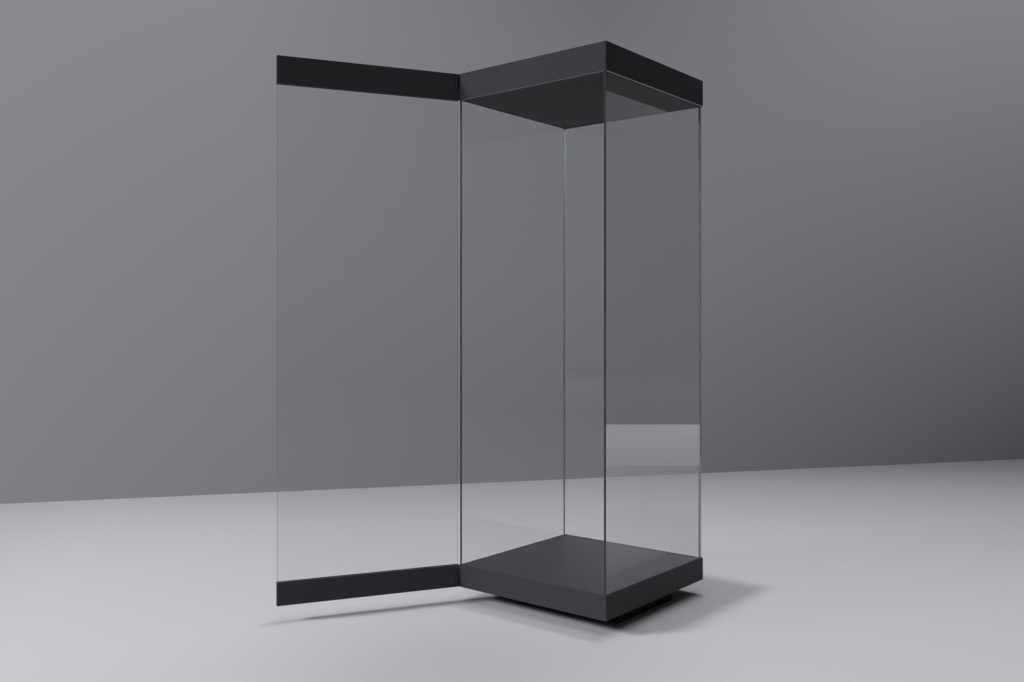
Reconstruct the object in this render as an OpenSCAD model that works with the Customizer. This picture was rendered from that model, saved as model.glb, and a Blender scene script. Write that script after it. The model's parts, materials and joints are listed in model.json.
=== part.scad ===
// Free-standing glass showcase: black recessed plinth, folded steel base and canopy,
// glass on three sides, and a full-height hinged door leaf at the front left corner.
// Millimetres, +Z up. The origin is on the floor under the middle of the case, and the
// doorway faces -Y. The door is drawn open, at door_open_deg from its closed place.

/* [Case] */
// Width of the case, side to side
case_w = 600; // [460:10:900]
// Depth of the case, front to back
case_d = 612; // [500:6:900]
// Height of the case above the floor
case_h = 1800; // [1200:10:2400]
// Thickness of the folded sheet of the base, the canopy and the door rails
sheet_t = 1.5; // [1:0.25:2.5]
// Outside radius of the folded corners
fold_r = 2; // [1.6:0.1:4]

/* [Plinth] */
// Height of the recessed plinth
plinth_h = 50; // [42:1:120]
// How far the plinth stands in from the left and right sides
plinth_side_inset = 47; // [30:1:70]
// How far the plinth stands in from the front and the back
plinth_end_inset = 136; // [60:1:150]
// Thickness of the plinth skirt
skirt_t = 2; // [1.5:0.5:4]
// Thickness of the steel plate that stands on the floor
floor_plate_t = 8; // [5:1:12]
// Width of the two bearers inside the plinth
bearer_w = 40; // [36:1:60]
// Wall of the bearers
bearer_t = 3; // [2:0.5:4]
// Distance of each bearer's middle from the front or the rear of the plinth
bearer_inset = 55; // [45:1:70]

/* [Levelling feet] */
// Distance of the feet from the left or the right side of the plinth
foot_inset = 43; // [38:1:60]
// Radius of the foot pad
foot_pad_r = 17; // [12:0.5:20]
// Radius of the threaded stud
foot_stud_r = 5; // [4:0.5:6]
// Length of the stud above its lock nut
stud_over = 9; // [5:0.5:14]
// Gap under the pad when the foot is wound in
foot_lift = 0.3; // [0.2:0.1:1]

/* [Base] */
// Height of the base box
base_h = 76; // [70:1:140]
// Thickness of the deck panel
deck_t = 3; // [2:0.5:5]
// Width of the frame tubes in the base and the canopy
frame_w = 44; // [40:1:60]
// Wall of the frame tubes
frame_t = 2.5; // [2:0.5:4]
// Depth of the counterweight
weight_d = 170; // [80:5:180]
// Thickness of the counterweight
weight_t = 30; // [10:1:40]

/* [Canopy] */
// Height of the canopy, with the trim under it
canopy_h = 91; // [88:1:160]
// Height of the bright trim along the lower edge of the canopy
bead_h = 2.5; // [2:0.5:5]
// Height of the frame tubes in the canopy
canopy_rail_h = 44; // [30:1:50]
// Thickness of the ceiling panel
ceiling_t = 3; // [2:0.5:5]

/* [Glass] */
// Thickness of the glass
glass_t = 8; // [6:0.5:12]
// Length of glass held in the base and in the canopy
glass_bite = 25; // [22:1:32]
// Glazing tape between the side panes and the sheet
tape_t = 0.5; // [0.5:0.25:2]
// Distance of the rear pane from the back of the case
rear_inset = 9; // [5:0.5:15]
// Thickness of the clear adhesive where two panes meet
bond_t = 0.5; // [0.3:0.1:1]
// Gasket between the glass and the glazing angles
gasket_t = 1.5; // [1:0.25:3]
// Thickness of the glazing angles
angle_t = 3; // [2:0.5:4]
// Width of the flat leg of the glazing angles
angle_leg = 25; // [18:1:30]
// Height of the setting blocks under and over the panes
block_h = 4; // [3:0.5:6]
// Length of a setting block
block_l = 60; // [30:5:90]
// Flat ground off each long edge of the glass
arris = 0.8; // [0.4:0.1:1.5]

/* [Door] */
// Angle at which the door stands open
door_open_deg = 118.6; // [90:0.1:120]
// Gap between the case and the closed door
door_gap = 2; // [1.5:0.1:4]
// Thickness of the door rails
leaf_t = 20; // [18:0.5:30]
// How far the door rails are shorter than the base and the canopy
rail_short = 2; // [1:0.5:4]
// Length of glass held in a door rail
rail_bite = 38; // [30:1:42]
// How far the free end of the closed door is short of the case's right side
door_short = 2.8; // [0:0.1:6]
// Number of clamp screws in a rail
clamp_screws = 6; // [3:1:8]
// Thickness of the gaskets on the door glass
door_gasket_t = 0.5; // [0.5:0.25:1]
// Radius of the hidden magnets
magnet_r = 8; // [5:0.5:9]

/* [Hinges] */
// Gap between the hinge barrels and the left side of the case
barrel_gap = 0.2; // [0.2:0.05:2]
// Radius of the hinge barrels
barrel_r = 5.5; // [4.5:0.25:6.5]
// Depth of the hinge axis behind the inner face of the door
axis_in = 2.5; // [1.5:0.25:4]
// Radius of the hinge pins
pin_r = 3; // [2:0.25:3.5]
// Thickness of the fixed hinge plate
plate_t = 3; // [2:0.5:5]
// Length of the fixed hinge plate along the side of the case
plate_l = 40; // [36:1:60]
// Thickness of the thrust washers
washer_t = 1; // [0.5:0.25:2]

/* [Hidden] */
$fn = 48;

// Clearances
slip = 0.3;         // between pieces that drop into each other
run = 0.05;         // radial, round a pin or a stud
hinge_back = 0.4;   // fixed hinges behind the inner face of the closed door
hinge_off = 3;      // hinges from the edge of the door glass
hinge_in = 0.6;     // hinges from the closed edge of a rail
cut = 1;            // how far a cutting shape runs past the face it cuts

// Proportions of bought fasteners
hex_r = 1.85;       // corner radius of a nut or a head, over the radius of its thread
lock_nut_h = 8;
bolt_r = 4;
bolt_head_h = 5;
bolt_nut_h = 6.5;
bolt_over = 2.5;
sink_d = 8.5;       // depth of the sunk seat of a socket-head screw
socket_r = 3.5;
small_r = 2.5;      // countersunk screws of the hinges and the lid
small_l = 13;
clamp_screw_r = 3;

// Places of the case
half_w = case_w / 2;
half_d = case_d / 2;
wall_x = half_w - sheet_t;
wall_y = half_d - sheet_t;
base_z = plinth_h;
deck_z = plinth_h + base_h;
deck_under_z = deck_z - deck_t;
canopy_z = case_h - canopy_h;
fascia_z = canopy_z + bead_h;
ceiling_z = canopy_z + 0.5;

// Places of the glass
pane_x = wall_x - tape_t;
pane_in_x = pane_x - glass_t;
pane_y = half_d - rear_inset;
pane_in_y = pane_y - glass_t;
pane_front_y = -wall_y + 0.8;
glass_z0 = deck_z - glass_bite;
glass_z1 = canopy_z + glass_bite;
angle_x = pane_in_x - gasket_t;
angle_y = pane_in_y - gasket_t;
angle_end_x = angle_x - angle_leg;

// Places of the frames
rail_z0 = base_z + sheet_t;
rail_z1 = glass_z0 - block_h;
canopy_rail_z0 = glass_z1 + block_h;
canopy_rail_z1 = canopy_rail_z0 + canopy_rail_h;
rail_out_x = wall_x - slip;
rail_in_x = rail_out_x - frame_w;
rail_out_y = wall_y - slip;
rail_in_y = rail_out_y - frame_w;

// Places of the plinth
skirt_x = half_w - plinth_side_inset;
skirt_y = half_d - plinth_end_inset;
plate_x = skirt_x - skirt_t - slip;
plate_y = skirt_y - skirt_t - slip;
bearer_y = skirt_y - bearer_inset;
foot_x = skirt_x - foot_inset;
foot_pad_t = floor_plate_t - foot_lift - 0.7;
foot_stud_l = rail_z0 + lock_nut_h + stud_over - foot_lift - foot_pad_t;
foot_boss_r = foot_stud_r + 6;
foot_boss_h = 22;
foot_hole_r = foot_pad_r + 2;
bolt_x = foot_x + foot_boss_r + hex_r * bolt_r + 1.6;

// Places of the counterweight, between the feet and the rear of the frame
weight_x = foot_x - 30;
weight_mid_y = rail_in_y - 2 - weight_d / 2;
weight_screw_in = 20;

// Hat sections under the deck: half the width of the crown, the brim and the sheet
rib_half = 20;
rib_brim = 14;
rib_t = 2;

// Places of the hinge and the door. Door pieces are drawn closed: +X from the hinge axis towards
// the free end, -Y outwards, and the inner face of the leaf at y = 0. The axis is at y = -axis_in,
// so that the barrels nest in the hinge end of the rails, behind the inner face.
axis_out = barrel_r + barrel_gap;
axis_x = -half_w - axis_out;
face_y = -half_d - door_gap;
axis_y = face_y - axis_in;
leaf_x0 = -barrel_r - 1;
nest_r = max(barrel_r + 1.5, sqrt(leaf_x0 * leaf_x0 + axis_in * axis_in) + run / 2);
leaf_x1 = case_w + axis_out - door_short;
top_z0 = canopy_z + rail_short;
top_z1 = case_h;
bottom_z0 = plinth_h;
bottom_z1 = deck_z - rail_short;
door_glass_z0 = bottom_z1 - rail_bite;
door_glass_z1 = top_z0 + rail_bite;
door_glass_y = (leaf_t - glass_t) / 2;
clamp_t = door_glass_y - door_gasket_t - sheet_t;
leaf_in_y = sheet_t + clamp_t;
leaf_out_y = leaf_t - sheet_t - clamp_t;
hinge_block_x = 60;
clamp_x0 = hinge_block_x + 2;
clamp_x1 = leaf_x1 - sheet_t - slip - 1;
top_bar = [top_z0 + sheet_t + slip, top_z1 - sheet_t - slip];
bottom_bar = [bottom_z0 + sheet_t + slip, bottom_z1 - sheet_t - slip];
top_spacer = [door_glass_z1 + 1, top_bar[1]];
bottom_spacer = [bottom_bar[0], door_glass_z0 - 1];
clamp_screw_l = leaf_t - 2 * (sheet_t + slip) - 1;
magnet_x = leaf_x1 - 24;
magnet_low_z = deck_z - 17;
magnet_high_z = fascia_z + 13;
keeper_half = 9;
keeper_t = 3;

// Heights of the hinge knuckles, below or above the glass: fixed, turning on the door, fixed
knuckle_gap = washer_t + 0.2;
low_hinge_z0 = bottom_z0 + sheet_t + hinge_in;
low_hinge_z1 = door_glass_z0 - hinge_off;
low_knuckle = (low_hinge_z1 - low_hinge_z0) / 3;
low_hinge_z = [low_hinge_z0, low_hinge_z0 + low_knuckle, low_hinge_z1 - low_knuckle, low_hinge_z1];
high_hinge_z0 = door_glass_z1 + hinge_off;
high_hinge_z1 = top_z1 - sheet_t - hinge_in;
high_knuckle = (high_hinge_z1 - high_hinge_z0) / 3;
high_hinge_z = [high_hinge_z0, high_hinge_z0 + high_knuckle, high_hinge_z1 - high_knuckle, high_hinge_z1];
hinge_screw_y = face_y + plate_l - 7;
hinge_screw_step = 9;
low_screw_z = (low_hinge_z0 + low_hinge_z1) / 2;
high_screw_z = (high_hinge_z0 + canopy_rail_z1) / 2;

steel = [0.25, 0.25, 0.265];
deep = [0.13, 0.13, 0.14];
black = [0.02, 0.02, 0.02];
zinc = [0.62, 0.63, 0.65];
pane = [0.80, 0.88, 0.86, 0.25];
rubber = [0.06, 0.06, 0.06];
pale = [0.70, 0.70, 0.71];

// ---- Shapes that repeat ----

// A box from its lowest to its highest corner
module block(low, high) {
    translate(low) cube(high - low);
}

// A rectangle about the origin with rounded corners, as exact arcs
module folded_outline(x, y, r) {
    square([2 * x, 2 * (y - r)], center = true);
    square([2 * (x - r), 2 * y], center = true);
    for (sx = [-1, 1], sy = [-1, 1])
        translate([sx * (x - r), sy * (y - r)]) circle(r);
}

// Four upright walls of folded sheet round the origin
module folded_walls(x, y, t, z0, z1, r) {
    translate([0, 0, z0]) linear_extrude(z1 - z0) difference() {
        folded_outline(x, y, r);
        folded_outline(x - t, y - t, max(r - t, 0.1));
    }
}

// A rectangular tube along X or Y, from its lowest to its highest corner
module tube_x(low, high, t) {
    difference() {
        block(low, high);
        block(low + [-cut, t, t], high + [cut, -t, -t]);
    }
}

module tube_y(low, high, t) {
    difference() {
        block(low, high);
        block(low + [t, -cut, t], high + [-t, cut, -t]);
    }
}

// Places its children at the four feet
module at_feet() {
    for (sx = [-1, 1], sy = [-1, 1]) translate([sx * foot_x, sy * bearer_y, 0]) children();
}

// Places its children at the four bolts that join the base to the bearers
module at_bolts() {
    for (sx = [-1, 1], sy = [-1, 1]) translate([sx * bolt_x, sy * bearer_y, 0]) children();
}

// A countersunk screw, head up at z = 0
module countersunk_screw(r, length) {
    translate([0, 0, -length]) cylinder(r = r, h = length);
    translate([0, 0, -r]) cylinder(r1 = r, r2 = 2 * r, h = r);
}

// The hole for that screw
module countersunk_hole(r, length) {
    translate([0, 0, -length]) cylinder(r = r + run, h = length + cut);
    translate([0, 0, -r]) cylinder(r1 = r + run, r2 = 2 * r + run, h = r);
    cylinder(r = 2 * r + run, h = cut);
}

// ---- Plinth and feet ----

module plinth_skirt() color(black)
    folded_walls(skirt_x, skirt_y, skirt_t, 0, plinth_h, fold_r + 0.5);

module floor_plate() color(black) difference() {
    block([-plate_x, -plate_y, 0], [plate_x, plate_y, floor_plate_t]);
    at_feet() translate([0, 0, -cut]) cylinder(r = foot_hole_r, h = floor_plate_t + 2 * cut);
}

module plinth_bearers() color(black) difference() {
    union() {
        for (s = [-1, 1]) translate([0, s * bearer_y, 0])
            tube_x([-plate_x, -bearer_w / 2, floor_plate_t], [plate_x, bearer_w / 2, plinth_h], bearer_t);
        at_feet() translate([0, 0, plinth_h - foot_boss_h]) cylinder(r = foot_boss_r, h = foot_boss_h);
    }
    at_feet() {
        translate([0, 0, floor_plate_t - cut]) cylinder(r = foot_stud_r + run, h = plinth_h);
        translate([0, 0, floor_plate_t - cut]) cylinder(r = foot_stud_r + 3, h = bearer_t + 2 * cut);
    }
    at_bolts() translate([0, 0, plinth_h - bearer_t - cut])
        cylinder(r = bolt_r + run, h = bearer_t + 2 * cut);
}

// A foot wound fully in: a pad with a chamfered rim, and a stud with a key socket in its top
module levelling_foot() color(zinc) translate([0, 0, foot_lift]) difference() {
    union() {
        cylinder(r1 = foot_pad_r - 1, r2 = foot_pad_r, h = 1);
        translate([0, 0, 1]) cylinder(r = foot_pad_r, h = foot_pad_t - 2.5);
        translate([0, 0, foot_pad_t - 1.5]) cylinder(r1 = foot_pad_r, r2 = foot_stud_r + 1, h = 1.5);
        cylinder(r = foot_stud_r, h = foot_pad_t + foot_stud_l);
    }
    translate([0, 0, foot_pad_t + foot_stud_l - 5]) cylinder(r = 2.9, h = 5 + cut, $fn = 6);
}

module foot_lock_nuts() color(zinc) at_feet() translate([0, 0, rail_z0]) difference() {
    cylinder(r = hex_r * foot_stud_r, h = lock_nut_h, $fn = 6);
    translate([0, 0, -cut]) cylinder(r = foot_stud_r + run, h = lock_nut_h + 2 * cut);
}

// ---- Base ----

// Places its children at the screws of one fixed hinge, on its plate on the left side
module hinge_screw_places(z) {
    for (k = [-1, 1]) translate([-half_w - plate_t, hinge_screw_y, z + k * hinge_screw_step])
        rotate([0, -90, 0]) children();
}

module base_shell() color(steel) difference() {
    union() {
        folded_walls(half_w, half_d, sheet_t, base_z, deck_z, fold_r);
        translate([0, 0, base_z]) linear_extrude(sheet_t) folded_outline(half_w, half_d, fold_r);
    }
    at_feet() translate([0, 0, base_z - cut]) cylinder(r = foot_stud_r + 2, h = sheet_t + 2 * cut);
    at_bolts() translate([0, 0, base_z - cut]) cylinder(r = bolt_r + run, h = sheet_t + 2 * cut);
    weight_screw_places() translate([0, 0, base_z - cut]) cylinder(r = bolt_r + run, h = sheet_t + 2 * cut);
    hinge_screw_places(low_screw_z) countersunk_hole(small_r, small_l + 1);
}

// Hexagon bolts from the base into the bearers, each with its nut under the bearer's top wall
module base_bolts() color(zinc) at_bolts() {
    nut_top = plinth_h - bearer_t;
    tip = nut_top - bolt_nut_h - bolt_over;
    translate([0, 0, rail_z0]) cylinder(r = hex_r * bolt_r, h = bolt_head_h, $fn = 6);
    translate([0, 0, tip]) cylinder(r = bolt_r, h = rail_z0 - tip);
    translate([0, 0, nut_top - bolt_nut_h]) cylinder(r = hex_r * bolt_r, h = bolt_nut_h, $fn = 6);
}

// Two side tubes with a front and a rear tube welded between them
module tube_frame(z0, z1) {
    for (s = [-1, 1]) {
        low_x = s > 0 ? rail_in_x : -rail_out_x;
        tube_y([low_x, -rail_out_y, z0], [low_x + frame_w, rail_out_y, z1], frame_t);
        low_y = s > 0 ? rail_in_y : -rail_out_y;
        tube_x([-rail_in_x, low_y, z0], [rail_in_x, low_y + frame_w, z1], frame_t);
    }
}

module base_frame() color(deep) difference() {
    tube_frame(rail_z0, rail_z1);
    hinge_screw_places(low_screw_z) countersunk_hole(small_r, small_l + 1);
}

module weight_screw_places() {
    x = weight_x - weight_screw_in;
    y = weight_d / 2 - weight_screw_in;
    for (sx = [-1, 1], sy = [-1, 1]) translate([sx * x, weight_mid_y + sy * y, 0]) children();
}

module counterweight() color(deep) difference() {
    block([-weight_x, weight_mid_y - weight_d / 2, rail_z0],
        [weight_x, weight_mid_y + weight_d / 2, rail_z0 + weight_t]);
    weight_screw_places() {
        translate([0, 0, rail_z0 - cut]) cylinder(r = bolt_r + run, h = weight_t + 2 * cut);
        translate([0, 0, rail_z0 + weight_t - sink_d]) cylinder(r = 1.7 * bolt_r, h = sink_d + cut);
    }
}

module counterweight_screws() color(zinc) weight_screw_places() difference() {
    union() {
        translate([0, 0, base_z]) cylinder(r = bolt_r, h = sheet_t + weight_t - sink_d);
        translate([0, 0, rail_z0 + weight_t - sink_d]) cylinder(r = 1.6 * bolt_r, h = 2 * bolt_r);
    }
    translate([0, 0, rail_z0 + weight_t - sink_d + bolt_r])
        cylinder(r = socket_r, h = bolt_r + cut, $fn = 6);
}

// Hat sections across the frame, under the deck
module deck_ribs() color(deep) for (s = [-1, 1]) {
    mid = s * case_d / 6;
    rib_x = angle_end_x - slip;
    difference() {
        block([-rib_x, mid - rib_half, rail_z1], [rib_x, mid + rib_half, deck_under_z]);
        block([-half_w, mid - rib_half + rib_t, rail_z1 - cut],
            [half_w, mid + rib_half - rib_t, deck_under_z - rib_t]);
    }
    for (e = [-1, 1]) translate([0, mid + e * (rib_half + rib_brim / 2), rail_z1 + rib_t / 2])
        cube([2 * rib_x, rib_brim, rib_t], center = true);
}

// An angle under the front edge of the deck, stopped short of the keeper plate
module front_deck_angle() color(deep) {
    y0 = -wall_y + slip;
    end_x = axis_x + magnet_x - keeper_half - 20;
    block([-angle_end_x, y0, rail_z1], [end_x, y0 + angle_t, deck_under_z]);
    block([-angle_end_x, y0, deck_under_z - angle_t], [end_x, y0 + angle_leg, deck_under_z]);
}

module deck_panel() color(steel)
    block([-pane_in_x + slip, -wall_y + slip, deck_under_z], [pane_in_x - slip, pane_in_y - slip, deck_z]);

// ---- Glazing: what holds the three fixed panes in the base and in the canopy ----

// Angles behind the left, right and rear panes: upright legs from foot_z to tip_z, flat legs at foot_z
module glazing_angles(foot_z, tip_z) {
    up = tip_z > foot_z;
    leg_z0 = min(foot_z, tip_z);
    leg_z1 = max(foot_z, tip_z);
    flat_z0 = up ? foot_z : foot_z - angle_t;
    front = pane_front_y + 4;
    for (s = [-1, 1]) {
        low_x = s > 0 ? angle_x - angle_t : -angle_x;
        flat_x = s > 0 ? angle_end_x : -angle_x;
        block([low_x, front, leg_z0], [low_x + angle_t, pane_in_y - bond_t, leg_z1]);
        block([flat_x, front, flat_z0], [flat_x + angle_leg, pane_in_y - bond_t, flat_z0 + angle_t]);
    }
    rear_x = angle_end_x - slip;
    block([-rear_x, angle_y - angle_t, leg_z0], [rear_x, angle_y, leg_z1]);
    block([-rear_x, angle_y - angle_leg, flat_z0], [rear_x, angle_y, flat_z0 + angle_t]);
}

// Tape outside each pane and a gasket inside it
module glazing_gaskets(z0, z1) {
    front = pane_front_y + 4;
    for (s = [-1, 1]) {
        tape_x = s > 0 ? pane_x : -wall_x;
        gasket_x = s > 0 ? angle_x : -pane_in_x;
        block([tape_x, front, z0], [tape_x + tape_t, pane_in_y, z1]);
        block([gasket_x, front, z0], [gasket_x + gasket_t, pane_in_y - bond_t, z1]);
    }
    block([-angle_end_x, pane_y, z0], [angle_end_x, wall_y, z1]);
    block([-angle_end_x, angle_y, z0], [angle_end_x, pane_in_y, z1]);
}

// Two blocks at the end of each pane
module setting_blocks(z0) {
    for (a = [-1, 1]) {
        for (s = [-1, 1]) translate([s * (pane_x + pane_in_x) / 2, a * case_d / 4, z0 + block_h / 2])
            cube([glass_t, block_l, block_h], center = true);
        translate([a * case_w / 4, (pane_y + pane_in_y) / 2, z0 + block_h / 2])
            cube([block_l, glass_t, block_h], center = true);
    }
}

module base_glazing_angles() color(zinc) glazing_angles(rail_z1, deck_under_z);
module base_glazing_gaskets() color(rubber) glazing_gaskets(glass_z0, deck_under_z - 1);
module base_setting_blocks() color(rubber) setting_blocks(rail_z1);
module canopy_glazing_angles() color(zinc) glazing_angles(canopy_rail_z0, ceiling_z + ceiling_t);
module canopy_glazing_gaskets() color(rubber) glazing_gaskets(ceiling_z + ceiling_t + 1, glass_z1);
module canopy_setting_blocks() color(rubber) setting_blocks(glass_z1);

// ---- Glass ----

// An upright sheet of glass with a flat ground off each upright edge
module glass_sheet(low, high) color(pane) {
    a = arris;
    translate([0, 0, low[2]]) linear_extrude(high[2] - low[2]) polygon([
        [low[0] + a, low[1]], [high[0] - a, low[1]], [high[0], low[1] + a], [high[0], high[1] - a],
        [high[0] - a, high[1]], [low[0] + a, high[1]], [low[0], high[1] - a], [low[0], low[1] + a]]);
}

module side_glass(s) {
    low_x = s > 0 ? pane_in_x : -pane_x;
    glass_sheet([low_x, pane_front_y, glass_z0], [low_x + glass_t, pane_in_y - bond_t, glass_z1]);
}

module left_glass() side_glass(-1);
module right_glass() side_glass(1);
module rear_glass() glass_sheet([-pane_x, pane_in_y, glass_z0], [pane_x, pane_y, glass_z1]);

// Clear adhesive between the rear edges of the side panes and the rear pane
module corner_bonds() color(pane) for (s = [-1, 1]) {
    low_x = (s > 0 ? pane_in_x : -pane_x) + arris;
    block([low_x, pane_in_y - bond_t, deck_z], [low_x + glass_t - 2 * arris, pane_in_y, canopy_z]);
}

// ---- Canopy ----

// A bright trim below the fascia: flush at the sides and the back, proud at the front as the door's seal
module canopy_bead() color(pale) {
    difference() {
        folded_walls(half_w, half_d, sheet_t + tape_t, canopy_z, fascia_z, fold_r + 0.5);
        block([-half_w, -half_d - cut, canopy_z - cut], [half_w, -half_d + 3, fascia_z + cut]);
    }
    block([-half_w + 1, face_y + 0.2, canopy_z], [half_w - 1, -wall_y, fascia_z]);
}

module canopy_shell() color(steel) difference() {
    folded_walls(half_w, half_d, sheet_t, fascia_z, case_h, fold_r);
    hinge_screw_places(high_screw_z) countersunk_hole(small_r, small_l + 1);
}

module lid_screw_places() {
    for (sx = [-1, 1], sy = [-1, 1])
        translate([sx * (rail_in_x + frame_w / 2), sy * (rail_in_y - 40), case_h]) children();
}

module canopy_frame() color(deep) difference() {
    tube_frame(canopy_rail_z0, canopy_rail_z1);
    hinge_screw_places(high_screw_z) countersunk_hole(small_r, small_l + 1);
    lid_screw_places() countersunk_hole(small_r, case_h - canopy_rail_z1 + 6);
}

module ceiling_panel() color(deep)
    block([-pane_in_x + slip, -wall_y + slip, ceiling_z],
        [pane_in_x - slip, pane_in_y - slip, ceiling_z + ceiling_t]);

// A shallow tray turned over, dropped inside the canopy walls so that its edge stands on the frame
module canopy_lid() color(steel) {
    lid_x = wall_x - slip;
    lid_y = wall_y - slip;
    difference() {
        block([-lid_x, -lid_y, case_h - sheet_t], [lid_x, lid_y, case_h]);
        lid_screw_places() countersunk_hole(small_r, 6);
    }
    difference() {
        block([-lid_x, -lid_y, canopy_rail_z1], [lid_x, lid_y, case_h - sheet_t]);
        block([-lid_x + sheet_t, -lid_y + sheet_t, canopy_rail_z1 - cut],
            [lid_x - sheet_t, lid_y - sheet_t, case_h]);
    }
}

module lid_screws() color(zinc) lid_screw_places()
    countersunk_screw(small_r, case_h - canopy_rail_z1 + 5);

// Steel plates behind the front sheet, which the magnets in the door pull on
module keeper_plates() color(zinc) for (z = [magnet_low_z, magnet_high_z])
    block([axis_x + magnet_x - keeper_half, -wall_y, z - keeper_half],
        [axis_x + magnet_x + keeper_half, -wall_y + keeper_t, z + keeper_half]);

// ---- Hinges ----

// Fixed half: a plate on the left side of the case, as high as the rail, and a web to two knuckles.
// Knuckles and web are cut back round the turning knuckle, and past them the plate is coved round the
// end of the rail. The web's corners are given from the hinge axis.
module fixed_hinge(z, plate_z, cove_z, screw_z) color(steel) difference() {
    union() {
        translate([axis_x, axis_y, z[0]]) cylinder(r = barrel_r, h = z[1] - knuckle_gap - z[0]);
        translate([axis_x, axis_y, z[2] + knuckle_gap])
            cylinder(r = barrel_r, h = z[3] - z[2] - knuckle_gap);
        block([-half_w - plate_t, face_y + hinge_back, plate_z[0]], [-half_w, face_y + plate_l, plate_z[1]]);
        translate([axis_x, axis_y, z[0]]) linear_extrude(z[3] - z[0]) polygon([
            [0, barrel_r - 1], [1.2, nest_r - 0.6], [axis_out - plate_t, nest_r + 1.5],
            [axis_out - plate_t, axis_in + hinge_back]]);
    }
    translate([axis_x, axis_y, z[0] + 3]) cylinder(r = pin_r + run, h = z[3] - z[0]);
    translate([axis_x, axis_y, z[1] - knuckle_gap])
        cylinder(r = barrel_r + 0.6, h = z[2] - z[1] + 2 * knuckle_gap);
    translate([axis_x, axis_y, cove_z[0]]) cylinder(r = nest_r + slip, h = cove_z[1] - cove_z[0]);
    hinge_screw_places(screw_z) countersunk_hole(small_r, small_l + 1);
}

module lower_fixed_hinge()
    fixed_hinge(low_hinge_z, [low_hinge_z[0], bottom_z1], [low_hinge_z[3], bottom_z1 + cut], low_screw_z);
module upper_fixed_hinge()
    fixed_hinge(high_hinge_z, [top_z0, high_hinge_z[3]], [top_z0 - cut, high_hinge_z[0]], high_screw_z);

// The pin stands on the bottom of a blind bore in the lowest knuckle
module hinge_pin(z) color(zinc)
    translate([axis_x, axis_y, z[0] + 3]) cylinder(r = pin_r, h = z[3] - z[0] - 3);

module lower_hinge_pin() hinge_pin(low_hinge_z);
module upper_hinge_pin() hinge_pin(high_hinge_z);

// Thrust washers, each against a fixed knuckle
module hinge_washers() color(black) for (z = [low_hinge_z, high_hinge_z])
    for (level = [z[1] - knuckle_gap, z[2] + knuckle_gap - washer_t])
        translate([axis_x, axis_y, level]) difference() {
            cylinder(r = barrel_r - 0.25, h = washer_t);
            translate([0, 0, -cut]) cylinder(r = pin_r + run, h = washer_t + 2 * cut);
        }

module hinge_screws() color(zinc) {
    hinge_screw_places(low_screw_z) countersunk_screw(small_r, small_l);
    hinge_screw_places(high_screw_z) countersunk_screw(small_r, small_l);
}

// ---- Door ----

// Turns a closed door piece about the hinge axis to where the door stands open
module on_door() {
    translate([axis_x, axis_y, 0]) rotate(-door_open_deg) translate([0, axis_in, 0]) children();
}

// The hollow in a rail for the knuckles, from z0 to z1
module nest(z0, z1) {
    translate([0, -axis_in, z0]) cylinder(r = nest_r, h = z1 - z0);
}

// Turning half of a hinge: a knuckle on a block that fills the end of the rail, clear of the glass
module door_hinge(z) color(zinc) on_door() difference() {
    union() {
        difference() {
            block([leaf_x0 + sheet_t + slip, -leaf_t + sheet_t + slip, z[0]],
                [hinge_block_x, -sheet_t - slip, z[3]]);
            nest(z[0] - cut, z[3] + cut);
        }
        translate([0, -axis_in, z[1]]) cylinder(r = barrel_r, h = z[2] - z[1]);
        block([0, -leaf_t + sheet_t + slip, z[1]], [nest_r + cut, -sheet_t - slip, z[2]]);
    }
    translate([0, -axis_in, z[1] - cut]) cylinder(r = pin_r + run, h = z[2] - z[1] + 2 * cut);
}

module lower_door_hinge() door_hinge(low_hinge_z);
module upper_door_hinge() door_hinge(high_hinge_z);

module door_glass() on_door()
    glass_sheet([leaf_x0 + sheet_t + slip, -door_glass_y - glass_t, door_glass_z0],
        [leaf_x1 - sheet_t - slip, -door_glass_y, door_glass_z1]);

module door_glass_gaskets() color(rubber) on_door()
    for (z = [[door_glass_z0, bottom_z1 - sheet_t - slip], [top_z0 + sheet_t + slip, door_glass_z1]]) {
        block([clamp_x0, -door_glass_y, z[0]], [clamp_x1, -leaf_in_y, z[1]]);
        block([clamp_x0, -leaf_out_y, z[0]], [clamp_x1, -door_glass_y - glass_t, z[1]]);
    }

// Plan of a rail, t inside its outer faces, with its two outer corners folded round, open to y = back
module rail_plan(t, back) {
    r = max(fold_r - t, 0.1);
    x0 = leaf_x0 + t;
    x1 = leaf_x1 - t;
    y0 = -leaf_t + t;
    translate([x0 + r, y0]) square([x1 - x0 - 2 * r, back - y0]);
    translate([x0, y0 + r]) square([x1 - x0, back - y0 - r]);
    for (x = [x0 + r, x1 - r]) translate([x, y0 + r]) circle(r);
}

// Outer half of a rail: front sheet, two ends, closed edge at shut_z and a lip beside the glass at lip_z
module rail_shell(z0, z1, shut_z, lip_z, hinge_z) color(deep) on_door() difference() {
    union() {
        translate([0, 0, z0]) linear_extrude(z1 - z0) difference() {
            rail_plan(0, -sheet_t);
            rail_plan(sheet_t, 0);
        }
        translate([0, 0, shut_z]) linear_extrude(sheet_t) rail_plan(0, -sheet_t);
        translate([0, 0, lip_z]) linear_extrude(sheet_t) rail_plan(0, -door_glass_y - glass_t - slip);
    }
    nest(hinge_z[0] - slip, hinge_z[3] + slip);
}

// Inner half of a rail: a plain cover with a lip beside the glass
module rail_cover(z0, z1, lip_z, hinge_z) color(deep) on_door() difference() {
    union() {
        block([leaf_x0, -sheet_t, z0], [leaf_x1, 0, z1]);
        block([leaf_x0 + sheet_t + slip, -door_glass_y + slip, lip_z],
            [leaf_x1 - sheet_t - slip, 0, lip_z + sheet_t]);
    }
    nest(hinge_z[0] - slip, hinge_z[3] + slip);
}

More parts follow.
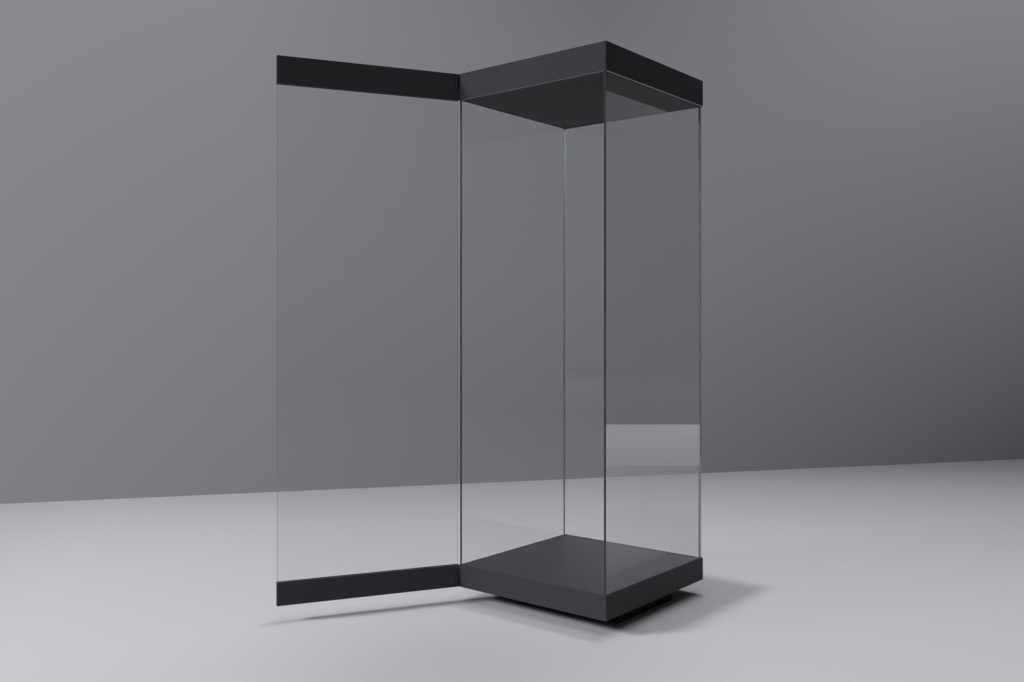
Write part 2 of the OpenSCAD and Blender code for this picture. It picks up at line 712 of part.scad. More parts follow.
module top_rail_shell() rail_shell(top_z0, top_z1, top_z1 - sheet_t, top_z0, high_hinge_z);
module top_rail_cover() rail_cover(top_z0, top_z1, top_z0, high_hinge_z);
module bottom_rail_shell() rail_shell(bottom_z0, bottom_z1, bottom_z0, bottom_z1 - sheet_t, low_hinge_z);
module bottom_rail_cover() rail_cover(bottom_z0, bottom_z1, bottom_z1 - sheet_t, low_hinge_z);

// Places its children along the clamp screws of a rail, at height z, head outwards on the inner face
module at_clamp_screws(z) {
    pitch = (clamp_x1 - clamp_x0 - 60) / (clamp_screws - 1);
    for (k = [0 : clamp_screws - 1])
        translate([clamp_x0 + 30 + k * pitch, -sheet_t - slip, z]) rotate([-90, 0, 0]) children();
}

// Outer clamp bar with the spacer that stands beyond the edge of the glass
module clamp_outer(bar, spacer) color(zinc) on_door() difference() {
    union() {
        block([clamp_x0, -leaf_t + sheet_t + slip, bar[0]], [clamp_x1, -leaf_out_y - slip, bar[1]]);
        block([clamp_x0, -leaf_t + sheet_t + slip, spacer[0]], [clamp_x1, -leaf_in_y - slip, spacer[1]]);
    }
    at_clamp_screws((spacer[0] + spacer[1]) / 2) countersunk_hole(clamp_screw_r, leaf_t);
}

module clamp_inner(bar, spacer, magnet_z) color(zinc) on_door() difference() {
    block([clamp_x0, -leaf_in_y, bar[0]], [clamp_x1, -sheet_t - slip, bar[1]]);
    at_clamp_screws((spacer[0] + spacer[1]) / 2) countersunk_hole(clamp_screw_r, leaf_t);
    translate([magnet_x, 0, magnet_z]) rotate([90, 0, 0]) cylinder(r = magnet_r + 0.2, h = leaf_in_y + cut);
}

module top_clamp_outer() clamp_outer(top_bar, top_spacer);
module top_clamp_inner() clamp_inner(top_bar, top_spacer, magnet_high_z);
module bottom_clamp_outer() clamp_outer(bottom_bar, bottom_spacer);
module bottom_clamp_inner() clamp_inner(bottom_bar, bottom_spacer, magnet_low_z);

module clamp_screws_set() color(zinc) on_door() for (spacer = [top_spacer, bottom_spacer])
    at_clamp_screws((spacer[0] + spacer[1]) / 2) countersunk_screw(clamp_screw_r, clamp_screw_l);

module door_magnets() color(zinc) on_door() for (z = [magnet_low_z, magnet_high_z])
    translate([magnet_x, -sheet_t - slip, z]) rotate([90, 0, 0]) cylinder(r = magnet_r, h = clamp_t - slip);

plinth_skirt();
floor_plate();
plinth_bearers();
translate([-foot_x, -bearer_y, 0]) levelling_foot();  // foot_front_left
translate([foot_x, -bearer_y, 0]) levelling_foot();  // foot_front_right
translate([-foot_x, bearer_y, 0]) levelling_foot();  // foot_rear_left
translate([foot_x, bearer_y, 0]) levelling_foot();  // foot_rear_right
foot_lock_nuts();
base_shell();
base_bolts();
base_frame();
counterweight();
counterweight_screws();
deck_ribs();
front_deck_angle();
deck_panel();
base_glazing_angles();
base_glazing_gaskets();
base_setting_blocks();
left_glass();
right_glass();
rear_glass();
corner_bonds();
canopy_bead();
canopy_shell();
canopy_frame();
canopy_glazing_angles();
canopy_glazing_gaskets();
canopy_setting_blocks();
ceiling_panel();
canopy_lid();
lid_screws();
keeper_plates();
lower_fixed_hinge();
upper_fixed_hinge();
lower_hinge_pin();
upper_hinge_pin();
hinge_washers();
hinge_screws();
lower_door_hinge();
upper_door_hinge();
door_glass();
door_glass_gaskets();
top_rail_shell();
top_rail_cover();
top_clamp_outer();
top_clamp_inner();
bottom_rail_shell();
bottom_rail_cover();
bottom_clamp_outer();
bottom_clamp_inner();
clamp_screws_set();
door_magnets();
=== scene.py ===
# %% [markdown]
# # A glass showcase with its door standing open
#
# The real object is a free-standing showcase: a dark steel base on a recessed black plinth, four
# sheets of clear glass, and a dark steel canopy. One of the sheets is a full-height door leaf. The
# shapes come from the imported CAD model, which is already in metres and in place. This script gives
# each of those pieces its finish, adds the silicone that was tooled into the rear corners, and sets
# up the room, the lamps and the camera.

import json
import math

import bpy
import numpy as np
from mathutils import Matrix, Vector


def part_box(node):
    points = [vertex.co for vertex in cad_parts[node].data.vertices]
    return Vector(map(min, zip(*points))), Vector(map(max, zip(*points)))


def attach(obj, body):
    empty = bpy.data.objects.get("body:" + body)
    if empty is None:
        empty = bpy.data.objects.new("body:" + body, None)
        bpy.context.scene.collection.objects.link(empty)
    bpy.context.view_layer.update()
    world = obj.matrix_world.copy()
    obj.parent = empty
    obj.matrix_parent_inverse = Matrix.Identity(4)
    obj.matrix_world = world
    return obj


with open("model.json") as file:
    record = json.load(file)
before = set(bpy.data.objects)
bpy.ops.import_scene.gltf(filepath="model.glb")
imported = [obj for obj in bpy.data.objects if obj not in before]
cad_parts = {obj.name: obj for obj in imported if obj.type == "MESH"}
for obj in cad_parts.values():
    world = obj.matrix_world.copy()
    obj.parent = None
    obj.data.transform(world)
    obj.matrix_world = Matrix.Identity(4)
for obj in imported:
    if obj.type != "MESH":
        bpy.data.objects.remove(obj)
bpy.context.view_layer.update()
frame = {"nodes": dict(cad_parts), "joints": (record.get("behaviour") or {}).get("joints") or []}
nodes = frame["nodes"]

# %% [markdown]
# ## The camera
#
# A camera can be placed by eye, or worked out from edges of known length. Here it was worked out
# from the corners of the case, so only the result is written down: where it stands, the way it
# faces, and its focal length. It looks level, and a small shift of the picture puts the horizon just
# above the middle.

# %% Place the camera
camera = bpy.data.objects.new("view_camera", bpy.data.cameras.new("view_camera"))
bpy.context.scene.collection.objects.link(camera)
bpy.context.scene.camera = camera
CAMERA_HEADING = math.radians(39.38)
camera.location = (1.8822, -2.6798, 0.9411)
camera.rotation_euler = (math.radians(90), 0, CAMERA_HEADING)
camera.data.lens = 33.14
camera.data.sensor_width = 36
camera.data.shift_y = -0.015
camera.data.clip_start, camera.data.clip_end = 0.05, 60
bpy.context.scene.view_settings.view_transform = "Standard"
print("camera at", tuple(round(v, 3) for v in camera.location))

# %% [markdown]
# ## Writing a finish as a sum
#
# A shader is a graph of nodes, and a graph is slow to read as code. Wrapping a socket in a small
# class with its own plus, minus and times lets a finish be written as a sum: `grain * 0.1 + 0.4`
# adds the two Math nodes. Every other kind of node comes from one method, which takes the node's
# type, its settings and the values or wires of its sockets.

# %% A wire that can be added and multiplied
class Wire:
    """One output socket of a finish's node tree, which takes part in sums."""

    def __init__(self, finish, socket):
        self.finish, self.socket = finish, socket

    def math(self, operation, first, second=0.0):
        return self.finish.node("ShaderNodeMath", {"operation": operation}, {0: first, 1: second})

    def __add__(self, other):
        return self.math("ADD", self, other)

    def __sub__(self, other):
        return self.math("SUBTRACT", self, other)

    def __rsub__(self, other):
        return self.math("SUBTRACT", other, self)

    def __mul__(self, other):
        return self.math("MULTIPLY", self, other)

    def __gt__(self, other):
        return self.math("GREATER_THAN", self, other)

    def __lt__(self, other):
        return self.math("LESS_THAN", self, other)

    def size(self):
        return self.math("ABSOLUTE", self)

    def at_least(self, least):
        return self.math("MAXIMUM", self, least)

    def at_most(self, most):
        return self.math("MINIMUM", self, most)

    __radd__ = __add__
    __rmul__ = __mul__


class Finish:
    """A material while it is being made. surface() ends it."""

    def __init__(self, name):
        self.material = bpy.data.materials.new(name)
        self.material.use_nodes = True
        self.tree = self.material.node_tree
        self.tree.nodes.clear()

    def node(self, kind, settings=None, inputs=None, out=0):
        """Adds one node: its settings first, then the values or wires of its sockets."""
        made = self.tree.nodes.new(kind)
        for name, value in (settings or {}).items():
            setattr(made, name, value)
        for name, value in (inputs or {}).items():
            if isinstance(value, Wire):
                self.tree.links.new(value.socket, made.inputs[name])
            else:
                made.inputs[name].default_value = value
        return Wire(self, made.outputs[out])

    def place(self, turn=0.0, centre=(0, 0, 0)):
        """Object coordinates, moved so that centre is zero and turned back by turn about Z."""
        here = self.node("ShaderNodeTexCoord", out="Object")
        if turn == 0 and centre == (0, 0, 0):
            return here
        inputs = {"Vector": here, "Location": centre, "Rotation": (0, 0, turn)}
        return self.node("ShaderNodeMapping", {"vector_type": "TEXTURE"}, inputs)

    def along(self, axis, turn=0.0, centre=(0, 0, 0)):
        """One coordinate of place(), as a number."""
        return self.node("ShaderNodeSeparateXYZ", inputs={0: self.place(turn, centre)}, out=axis)

    def noise(self, scale, detail=2.0):
        """Soft noise round one half, with its blobs about 1 / scale metres apart."""
        inputs = {"Vector": self.place(), "Scale": scale, "Detail": detail}
        return self.node("ShaderNodeTexNoise", inputs=inputs)

    def blend(self, share, first, second):
        """A colour part of the way from first to second."""
        return self.node("ShaderNodeMix", {"data_type": "RGBA"}, {0: share, 6: first, 7: second}, out=2)

    def bump(self, height, strength, distance):
        """A normal tilted as if the surface rose by height times distance, in metres."""
        inputs = {"Height": height, "Strength": strength, "Distance": distance}
        return self.node("ShaderNodeBump", inputs=inputs)

    def surface(self, shader):
        output = self.tree.nodes.new("ShaderNodeOutputMaterial")
        self.tree.links.new(shader.socket, output.inputs["Surface"])
        return self.material


def tone(red, green, blue):
    """A colour as it looks on screen, 0 to 255, turned into the linear light a shader works in."""
    shares = np.array([red, green, blue]) / 255
    return (*np.where(shares <= 0.04045, shares / 12.92, ((shares + 0.055) / 1.055) ** 2.4).tolist(), 1.0)


# %% [markdown]
# ## Powder-coated steel
#
# The base, the canopy and the door rails are folded steel with a dark satin powder coat. Powder
# melts into a film that isn't quite flat: its dimples are about a millimetre across, and the spray
# passes leave the tone a little uneven over a forearm's length. A picture of such a coat could be
# wrapped on, but two noises need no unwrapping: a fine one gives the dimples, and a broad one the
# uneven tone. Both stay faint, because a new coat looks even from a few steps away.

# %% Powder coats
DIMPLES_PER_METRE, PATCHES_PER_METRE, DIMPLE_DEPTH = 900, 3.5, 0.0003


def powder_coat(name, colour, roughness, gloss=0.12, dimples=0.25, spread=0.12):
    """Colour and roughness vary with a fine and a broad noise; the fine one is also the relief."""
    coat = Finish(name)
    fine, broad = coat.noise(DIMPLES_PER_METRE, 1), coat.noise(PATCHES_PER_METRE)
    share = fine * 0.35 + broad * 0.65
    dark = tuple(c * (1 - spread) for c in colour[:3]) + (1,)
    light = tuple(c * (1 + spread) for c in colour[:3]) + (1,)
    shader = coat.node("ShaderNodeBsdfPrincipled", inputs={
        "Base Color": coat.blend(share, dark, light),
        "Roughness": share * 0.12 + (roughness - 0.06),
        "Specular IOR Level": gloss,
        "Normal": coat.bump(fine, dimples, DIMPLE_DEPTH)})
    return coat.surface(shader)


coated_steel = powder_coat("coated_steel", tone(55, 55, 59), 0.42)
# The door rails take the same coat painted lighter: a painted highlight on their shaded inner faces.
rail_steel_painted_light = powder_coat("rail_steel_painted_light", tone(66, 66, 70), 0.42)
# The canopy's underside takes the same coat painted darker and less glossy: a painted shade.
ceiling_steel_painted_shade = powder_coat("ceiling_steel_painted_shade", tone(47, 46, 50), 0.42, gloss=0.08)
black_steel = powder_coat("black_steel", tone(24, 24, 25), 0.6)
primed_steel = powder_coat("primed_steel", tone(96, 97, 100), 0.65, dimples=0.1)
print("coats:", sorted(material.name for material in bpy.data.materials))

# %% [markdown]
# ## Zinc-plated steel
#
# Screws, feet, clamp bars and glazing angles are plated with zinc, which dries in fine spangles of
# slightly different tone. Soft noise could vary the tone, but it has no borders. A Voronoi pattern
# has cells like those crystals, so it drives the tone and the roughness of a metal. The bright trim
# under the canopy is a metal too, with cells too small to see from the front, which leaves a satin.

# %% Zinc plate
def zinc_plate(name, colour, spangle):
    """A metal whose tone and roughness step a little from cell to cell."""
    plate = Finish(name)
    pattern = {"Vector": plate.place(), "Scale": spangle}
    cells = plate.node("ShaderNodeTexVoronoi", inputs=pattern, out="Color")
    step = plate.node("ShaderNodeSeparateXYZ", inputs={0: cells}) * 0.6 + plate.noise(60) * 0.4
    dark = tuple(c * 0.82 for c in colour[:3]) + (1,)
    shader = plate.node("ShaderNodeBsdfPrincipled", inputs={
        "Base Color": plate.blend(step, dark, colour),
        "Metallic": 1.0,
        "Roughness": step * 0.14 + 0.26,
        "Normal": plate.bump(step, 0.05, 0.0001)})
    return plate.surface(shader)


zinc = zinc_plate("zinc_plate", tone(205, 207, 210), 260)
bright_trim = zinc_plate("bright_trim", tone(222, 222, 224), 900)
print("metals:", zinc.name, bright_trim.name)

# %% [markdown]
# ## Rubber and plastic
#
# The gaskets and blocks are matt black rubber, and the washers of the hinges a black bearing
# plastic. Both are moulded, so a picture of the grain could be wrapped on them, but a noise has no
# seams and needs no unwrapping. Rubber has a fine bloom: its roughness is high and its tone wanders.

# %% Rubber and plastics
def moulded(name, colour, roughness, grain, relief):
    """A plain moulded material: fine grain in the tone, the roughness and the relief."""
    stuff = Finish(name)
    fine = stuff.noise(grain)
    dark = tuple(c * 0.85 for c in colour[:3]) + (1,)
    shader = stuff.node("ShaderNodeBsdfPrincipled", inputs={
        "Base Color": stuff.blend(fine, dark, colour),
        "Roughness": fine * 0.1 + (roughness - 0.05),
        "Normal": stuff.bump(fine, relief, 0.0002)})
    return stuff.surface(shader)


rubber = moulded("black_rubber", tone(40, 40, 41), 0.75, 1500, 0.3)
bearing_plastic = moulded("bearing_plastic", tone(46, 46, 48), 0.45, 900, 0.05)
print("moulded:", rubber.name, bearing_plastic.name)

# %% [markdown]
# ## Glass
#
# A sheet of glass could be a flat see-through colour, but a real one bends light and mirrors the
# room at a slant. The CAD sheets have their true thickness, so a transmitting shader gives both. Its
# index is a little under that of real glass, because the room here is simpler than a real one and a
# full mirror image of it would look empty. Three things are added. Rays from the lamps pass straight
# through, where a path tracer would lose them. The ground edges are grey and half see-through, by a
# mask on the distance from the sheet's ends. And the right-hand sheet, which shows the far side of
# the room, has a mirroring film that fades out towards the deck.

# %% Glass sheets
CLEAR = (0.985, 0.988, 0.992, 1)
GREY_CLEAR = (0.93, 0.933, 0.938, 1)
LAMP_TINT = (0.95, 0.96, 0.955, 1)
FILM_TINT = (0.96, 0.97, 0.98, 1)
EDGE, EDGE_DEPTH, EDGE_SEE_THROUGH = tone(60, 64, 64), 0.0012, 0.5


def sheet_glass(name, ends, axis, turn=0.0, centre=(0, 0, 0), film=None, edge=EDGE, index=1.4,
                clear=CLEAR):
    """Clear glass with grey ground edges: the mask is 1 from EDGE_DEPTH short of either end of the
    sheet along one axis. film(finish) may give a share of the surface that mirrors outright."""
    glass = Finish(name)
    along = glass.along(axis, turn, centre)
    middle, reach = (ends[0] + ends[1]) / 2, (ends[1] - ends[0]) / 2
    at_end = (along - middle).size() > reach - EDGE_DEPTH
    body = glass.node("ShaderNodeBsdfPrincipled", inputs={
        "Base Color": clear,
        "Roughness": 0.0,
        "IOR": index,
        "Transmission Weight": 1.0})
    ground = glass.node("ShaderNodeBsdfPrincipled", inputs={"Base Color": edge, "Roughness": 0.35})
    body = glass.node("ShaderNodeMixShader", inputs={0: at_end, 1: body, 2: ground})
    if film:
        mirror = glass.node("ShaderNodeBsdfAnisotropic", inputs={"Color": FILM_TINT, "Roughness": 0.0})
        body = glass.node("ShaderNodeMixShader", inputs={0: film(glass), 1: body, 2: mirror})
    passing = glass.node("ShaderNodeBsdfTransparent", inputs={"Color": LAMP_TINT})
    lamp_ray = glass.node("ShaderNodeLightPath", out="Is Shadow Ray")
    bounce = glass.node("ShaderNodeLightPath", out="Is Diffuse Ray")
    either = ((lamp_ray + bounce) > 0.5).at_least(at_end * EDGE_SEE_THROUGH)
    return glass.surface(glass.node("ShaderNodeMixShader", inputs={0: either, 1: body, 2: passing}))


FILM_MIDDLE, FILM_REACH, OUTER_FACE = 0.918, 0.732, 0.2975
FILM_RISE, FILM_START, FILM_MOST = 2.2, 0.3, 0.9


def right_film(glass):
    """The mirrored share of the right pane, on its outer face and away from its top and foot: more
    at a slant, and none near the deck but all of it from a third of the height on."""
    slant = glass.node("ShaderNodeLayerWeight", inputs={"Blend": 0.5}, out="Facing")
    height = glass.along("Z")
    window = ((height - FILM_MIDDLE).size() < FILM_REACH) * (glass.along("X") > OUTER_FACE)
    return slant * window * (height * FILM_RISE - FILM_START).at_least(0.0).at_most(1.0) * FILM_MOST


def ends_of(node, axis):
    """Lowest and highest coordinate of a CAD node along one axis of the frame."""
    low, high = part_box(node)
    return low["XYZ".index(axis)], high["XYZ".index(axis)]


hinge = next(j for j in frame["joints"] if j["name"] == "door_hinge")
HINGE_POINT = tuple(hinge["pos_m"])
OPEN_ANGLE = math.radians(-hinge["range_deg"][1])
cosine, sine = math.cos(OPEN_ANGLE), math.sin(OPEN_ANGLE)
to_door = np.array([[cosine, sine], [-sine, cosine]])
leaf = np.array([v.co for v in nodes["door_glass"].data.vertices])
leaf_run = (leaf[:, :2] - np.array(HINGE_POINT[:2])) @ to_door.T
DOOR_ENDS = (float(leaf_run[:, 0].min()), float(leaf_run[:, 0].max()))
print("door glass runs from", [round(v, 4) for v in DOOR_ENDS], "of the hinge")

side_glass = sheet_glass("side_glass", ends_of("left_glass", "Y"), "Y", clear=GREY_CLEAR)
right_glass = sheet_glass("right_glass", ends_of("right_glass", "Y"), "Y", film=right_film,
                          edge=tone(76, 79, 79), index=1.25, clear=(0.86, 0.863, 0.868, 1))
rear_glass = sheet_glass("rear_glass", ends_of("rear_glass", "X"), "X", clear=GREY_CLEAR)
door_glass = sheet_glass("door_glass", (-DOOR_ENDS[1], DOOR_ENDS[1]), "X", OPEN_ANGLE, HINGE_POINT,
                         edge=tone(90, 94, 94), index=1.3, clear=(0.92, 0.923, 0.928, 1))


def clear_plastic(name, colour, roughness):
    """Clear silicone: it lets most light through and blurs it a little."""
    clear = Finish(name)
    fine = clear.noise(400)
    body = clear.node("ShaderNodeBsdfPrincipled", inputs={
        "Base Color": clear.blend(fine, tuple(c * 0.9 for c in colour[:3]) + (1,), colour),
        "Roughness": fine * 0.08 + roughness,
        "IOR": 1.4,
        "Transmission Weight": 0.9})
    passing = clear.node("ShaderNodeBsdfTransparent", inputs={"Color": (0.85, 0.87, 0.87, 1)})
    lamp_ray = clear.node("ShaderNodeLightPath", out="Is Shadow Ray")
    return clear.surface(clear.node("ShaderNodeMixShader", inputs={0: lamp_ray, 1: body, 2: passing}))


glass_bond = clear_plastic("glass_bond", (0.22, 0.24, 0.24, 1), 0.25)

# %% [markdown]
# ## The tooled silicone in the rear corners
#
# The rear sheet is glued to the two side sheets, and the glue that squeezes out inside is drawn off
# with a round tool. That leaves a thin concave fillet from the deck to the ceiling, which is never
# quite even, because a hand draws it. It could be a cylinder cut from a bar with a Boolean, but a
# profile carried along a line is simpler, stays light, and can vary on the way.

# %% Silicone fillets
FILLET_RADIUS, FILLET_WAVER, FACE_GAP, END_GAP = 0.0024, 0.10, 0.00004, 0.0002
WAVES = (9.0, 0.4), (23.0, 2.1), (57.0, 4.4)
ARC_STEPS, RUN_STEPS = 10, 160


def tooled_fillet(name, corner, side, foot, head):
    """A closed surface over (u, z). Round a ring, u starts in the corner, runs out along one face,
    and comes back on an arc that bends in towards the corner, which leaves a hollow front:
    (r + r cos a, r + r sin a), for a from 270 to 180 degrees. It ends along the other face. Along z,
    r swells and shrinks with a sum of three sines of the height."""
    height = np.linspace(foot, head, RUN_STEPS)
    waver = sum(np.sin(height * pitch + start) / 3 for pitch, start in WAVES)
    radius = FILLET_RADIUS * (1 + FILLET_WAVER * waver)
    turn = np.linspace(1.5 * np.pi, np.pi, ARC_STEPS)
    ring = np.vstack([[(0.0, 0.0)], np.column_stack([1 + np.cos(turn), 1 + np.sin(turn)])])
    across = FACE_GAP + radius[:, None, None] * ring[None]
    points = np.empty((RUN_STEPS, len(ring), 3))
    points[..., 0] = corner[0] + side * across[..., 0]
    points[..., 1] = corner[1] - across[..., 1]
    points[..., 2] = height[:, None]
    count = len(ring)
    low = (np.arange(RUN_STEPS - 1)[:, None] * count + np.arange(count)).ravel()
    step = (np.arange(RUN_STEPS - 1)[:, None] * count + (np.arange(count) + 1) % count).ravel()
    walls = np.column_stack([low, step, step + count, low + count])
    caps = [list(range(count))[::-1], list(range((RUN_STEPS - 1) * count, RUN_STEPS * count))]
    mesh = bpy.data.meshes.new(name)
    mesh.from_pydata(points.reshape(-1, 3).tolist(), [], walls.tolist() + caps)
    if side > 0:
        mesh.flip_normals()
    mesh.materials.append(glass_bond)
    made = bpy.data.objects.new(name, mesh)
    bpy.context.scene.collection.objects.link(made)
    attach(made, "case")
    return made


deck_top, ceiling_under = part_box("deck_panel")[1][2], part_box("ceiling_panel")[0][2]
rear_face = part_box("rear_glass")[0][1] - (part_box("corner_bonds")[1][1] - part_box("corner_bonds")[0][1])
for name, face, side in (("left_fillet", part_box("left_glass")[1][0], 1),
                         ("right_fillet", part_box("right_glass")[0][0], -1)):
    made = tooled_fillet(name, (face, rear_face), side, deck_top + END_GAP, ceiling_under - END_GAP)
    print(name, len(made.data.polygons), "faces")

# %% [markdown]
# ## Which piece has which finish
#
# On a real case the finish follows the process: what is sprayed, what is plated and what is bought
# in. So the list goes from each finish to its pieces. It could go from piece to finish instead, but
# then the same words would be written fifty times. The last line prints any piece that was missed.

# %% Give every node its finish
FINISHES = {
    coated_steel: "base_shell deck_panel canopy_shell canopy_lid lower_fixed_hinge "
                  "upper_fixed_hinge lower_door_hinge upper_door_hinge",
    # painted shade: the underside's copy of the coat is darker
    ceiling_steel_painted_shade: "ceiling_panel",
    # painted highlight: the rails' copy of the coat is lighter
    rail_steel_painted_light: "top_rail_shell top_rail_cover bottom_rail_shell bottom_rail_cover",
    black_steel: "plinth_skirt floor_plate plinth_bearers",
    primed_steel: "base_frame canopy_frame counterweight deck_ribs front_deck_angle",
    zinc: "foot_front_left foot_front_right foot_rear_left foot_rear_right foot_lock_nuts base_bolts "
          "counterweight_screws lid_screws keeper_plates lower_hinge_pin upper_hinge_pin hinge_screws "
          "clamp_screws_set base_glazing_angles canopy_glazing_angles top_clamp_outer top_clamp_inner "
          "bottom_clamp_outer bottom_clamp_inner door_magnets",
    rubber: "base_glazing_gaskets base_setting_blocks canopy_glazing_gaskets canopy_setting_blocks "
            "door_glass_gaskets",
    bright_trim: "canopy_bead",
    bearing_plastic: "hinge_washers",
    side_glass: "left_glass",
    right_glass: "right_glass",
    rear_glass: "rear_glass",
    door_glass: "door_glass",
    glass_bond: "corner_bonds",
}
for finish, names in FINISHES.items():
    for name in names.split():
        nodes[name].data.materials.clear()
        nodes[name].data.materials.append(finish)
bare = sorted(set(nodes) - {n for names in FINISHES.values() for n in names.split()})
print("nodes without a finish:", bare)

# %% [markdown]
# ## The room
#
# The floor is pale, and it takes the shadow of the case. Its tone has painted light in it: it darkens
# away from its middle and towards the foot of the front lamp, and bounce rays see its right-hand part
# painted near black. The walls stand far behind, and could be lit like the floor, but their tones
# would then change with every lamp. So they glow by themselves in a slow gradient of painted light,
# with painted shade about the middle of the main wall, which the camera, mirrors and glass see, and
# send no light onto the case. They show from inside the room only, so a view from outside looks past
# them. A glowing strip of paler floor far to the right is seen by mirrors alone: it is a painted
# reflection, which the right-hand sheet shows.

# %% Floor and walls
def flat_sheet(name, corners, material):
    """A flat four-sided sheet of the room."""
    mesh = bpy.data.meshes.new(name)
    mesh.from_pydata(corners, [], [(0, 1, 2, 3)])
    mesh.materials.append(material)
    made = bpy.data.objects.new(name, mesh)
    bpy.context.scene.collection.objects.link(made)
    return made


FRONT_LAMP_SLOPE = (-1.107, -1.634)
LAMP_TURN = math.atan2(FRONT_LAMP_SLOPE[1], FRONT_LAMP_SLOPE[0])
# Where the floor's painted shades begin and how fast they grow: near black for bounce rays to the right,
# darker towards the front lamp's foot.
DARK_FROM, DARK_RISE = 0.8, 1.2
LAMP_FOOT_FROM, LAMP_FOOT_RISE = 1.8, 0.22


def floor_with_painted_light(start, heading, reach):
    """A matt pale floor with painted light. From start on, along heading, it darkens with the square
    of the distance, a painted falloff like that of a floor lit best near its middle, and painted shade
    darkens it towards the foot of the front lamp too. For bounce rays its right-hand part is painted
    near black, a painted shade that sends little light back and keeps the right-hand faces dark."""
    floor = Finish("floor_with_painted_light")
    share = floor.along("Y", heading, start).at_least(0.0) * (1 / reach)
    cloud = (floor.noise(0.8) - 0.5) * 0.02
    # painted light: the floor's tone darkens with the square of the distance from its middle
    paint = floor.blend(share * share + cloud, tone(186, 186, 190), tone(93, 93, 96))
    # painted shade: for bounce rays the floor to the right turns near black, which keeps the right-hand
    # faces dark
    bounce = floor.node("ShaderNodeLightPath", out="Is Diffuse Ray")
    right = (floor.along("X") - DARK_FROM) * DARK_RISE * bounce
    # painted shade: the floor darkens towards the foot of the front lamp
    front = (floor.along("X", LAMP_TURN) - LAMP_FOOT_FROM) * LAMP_FOOT_RISE
    lit = floor.blend(front, paint, tone(105, 105, 108))
    shader = floor.node("ShaderNodeBsdfPrincipled", inputs={
        "Base Color": floor.blend(right, lit, tone(20, 20, 21)),
        "Roughness": 0.9,
        "Specular IOR Level": 0.1})
    return floor.surface(shader)


SHADE_MIDDLE, SHADE_RISE, SHADE_FOOT, SHADE = 0.535, 5.3, 0.3, tone(104, 105, 109)


def painted_light_sheet(name, tones, start, turn, length, shade=0.0):
    """A glow of painted light, seen by camera, mirror and glass rays: the four tones of the wall's
    corners, blended along it and up to WALL_TOP, with a soft painted shade about the middle that grows
    upwards. Lamp and bounce rays pass through it, and so does a look from behind."""
    wall = Finish(name)
    run, height = wall.along("X", turn, start) * (1 / length), wall.along("Z") * (1 / WALL_TOP)
    foot, head = (wall.blend(run, *pair) for pair in tones)
    near_middle = (1 - (run - SHADE_MIDDLE).size() * SHADE_RISE).at_least(0.0)
    share = near_middle * (height - SHADE_FOOT).at_least(0.0) * shade
    # painted shade about the middle, over the painted light of the corner tones
    colour = wall.blend(share, wall.blend(height, foot, head), SHADE)
    seen = wall.node("ShaderNodeEmission", inputs={"Color": colour})
    passing = wall.node("ShaderNodeBsdfTransparent", inputs={"Color": (1, 1, 1, 1)})
    lamp_ray = wall.node("ShaderNodeLightPath", out="Is Shadow Ray")
    bounce = wall.node("ShaderNodeLightPath", out="Is Diffuse Ray")
    behind = wall.node("ShaderNodeNewGeometry", out="Backfacing")
    either = (lamp_ray + bounce + behind) > 0.5
    return wall.surface(wall.node("ShaderNodeMixShader", inputs={0: either, 1: seen, 2: passing}))


def wall_between(name, first, second, tones, shade=0.0):
    """An upright wall over the plan line from first to second."""
    run = np.subtract(second, first)
    length = float(np.hypot(*run))
    paint = painted_light_sheet(name, tones, (*first, 0.0), math.atan2(run[1], run[0]), length, shade)
    corners = [(*first, 0), (*second, 0), (*second, SHEET_TOP), (*first, SHEET_TOP)]
    return flat_sheet(name, corners, paint)


CORNER, WALL_TOP, SHEET_TOP, FLOOR_EDGE = (1.729, 6.523), 4.0, 9, 14
flat_sheet("floor", [(x * FLOOR_EDGE, y * FLOOR_EDGE, 0) for x, y in ((-1, -1), (1, -1), (1, 1), (-1, 1))],
           floor_with_painted_light((0.93, -1.52, 0), math.radians(39.4), 5.6))
# painted light: the main wall glows bright on the left and darkens towards its right-hand foot, with
# painted shade behind the case
wall_between("main_wall", (-5.0, -2.825), CORNER, (
    (tone(142, 143, 147), tone(28, 31, 39)), (tone(144, 144, 149), tone(135, 136, 141))), shade=1.9)
wall_between("side_wall", CORNER, (8.0, 1.372), ((tone(106, 106, 109),) * 2,) * 2)
# A glowing strip in a paler floor tone that only mirrors see: a painted reflection of the floor far to the
# right, shown by the right-hand sheet.
FAR_CORNERS, FAR_LIFT = ((1.48, 3.2), (2.87, 2.06), (4.7, 3.98), (2.54, 5.76)), 0.002
FAR_TONES = tone(170, 170, 174), tone(177, 177, 181)
painted_reflection_glow = painted_light_sheet("painted_reflection_strip", (FAR_TONES, FAR_TONES), (2.71, 2.19, 0), math.radians(50.62), 2.65)
painted_reflection_strip = flat_sheet("painted_reflection_strip", [(*point, FAR_LIFT) for point in FAR_CORNERS], painted_reflection_glow)
painted_reflection_strip.visible_camera = painted_reflection_strip.visible_transmission = False
print("far floor, for mirrors only, seen by the camera:", painted_reflection_strip.visible_camera)

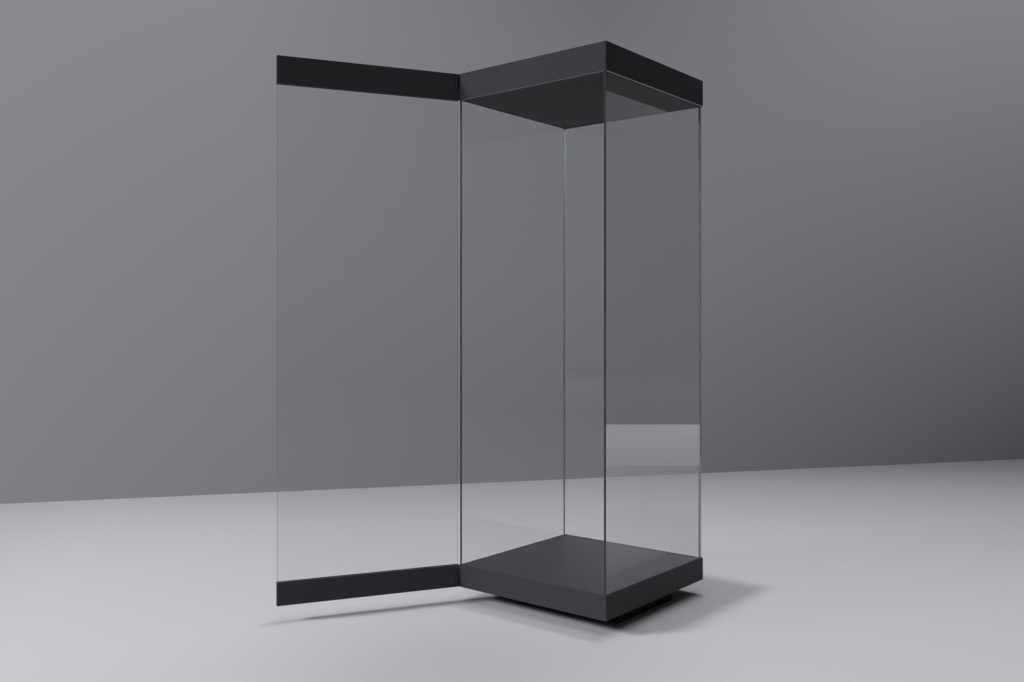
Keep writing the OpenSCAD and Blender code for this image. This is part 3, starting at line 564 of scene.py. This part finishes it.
# %% [markdown]
# ## The lamps
#
# Three soft lamps light the case: one in front on the left, rather low, which lights the front and
# throws the door's shadow on it, one behind it, whose shadow falls towards the viewer, and a broad
# one overhead that fills the rest. The directions could be tried out one by one, but the shadows on
# the floor give them: a shadow's reach over the height of what casts it is the slope of the light.
# The lamps are hidden from mirror rays, because a satin coat would show each as a pale patch. The
# sky fills the shadows weakly, and shows as a grey backdrop past the walls.

# %% Lamps and fill
AIM_HEIGHT = 0.4


def lamp(name, slope, height, size, power):
    """An area lamp, height above the floor, that looks from (slope x, slope y, 1) at the case's axis,
    AIM_HEIGHT up. Its size is the width and the height of its face."""
    made = bpy.data.objects.new(name, bpy.data.lights.new(name, "AREA"))
    made.data.shape, made.data.energy = "RECTANGLE", power
    made.data.size, made.data.size_y = size
    made.visible_glossy = False
    made.location = np.array([*slope, 1.0]) * height
    run = math.hypot(*slope) * height
    turn = math.atan2(slope[1], slope[0]) + math.pi / 2
    made.rotation_euler = (math.atan2(run, height - AIM_HEIGHT), 0, turn)
    bpy.context.scene.collection.objects.link(made)
    print(name, "at", [round(v, 2) for v in made.location])


lamp("front_left_lamp", FRONT_LAMP_SLOPE, 6.36, (3.4, 2.6), 2150)
lamp("rear_left_lamp", (-0.063, 0.366), 6.74, (1.68, 1.68), 140)
lamp("ceiling_lamp", (0.05, 0.0), 6.0, (5.9, 5.9), 160)

FILL, BACKDROP = (0.23, tone(150, 150, 155)), (1.0, tone(118, 119, 123))
world = bpy.data.worlds.new("room_fill")
bpy.context.scene.world = world
world.use_nodes = True
sky = world.node_tree
sky.nodes.clear()
path, either, mix = (sky.nodes.new("ShaderNode" + kind) for kind in ("LightPath", "Math", "MixShader"))
either.operation = "MAXIMUM"
sky.links.new(path.outputs["Is Camera Ray"], either.inputs[0])
sky.links.new(path.outputs["Is Transmission Ray"], either.inputs[1])
sky.links.new(either.outputs[0], mix.inputs[0])
for place, (strength, colour) in enumerate((FILL, BACKDROP), start=1):
    glow = sky.nodes.new("ShaderNodeBackground")
    glow.inputs["Color"].default_value = colour
    glow.inputs["Strength"].default_value = strength
    sky.links.new(glow.outputs[0], mix.inputs[place])
sky.links.new(mix.outputs[0], sky.nodes.new("ShaderNodeOutputWorld").inputs[0])
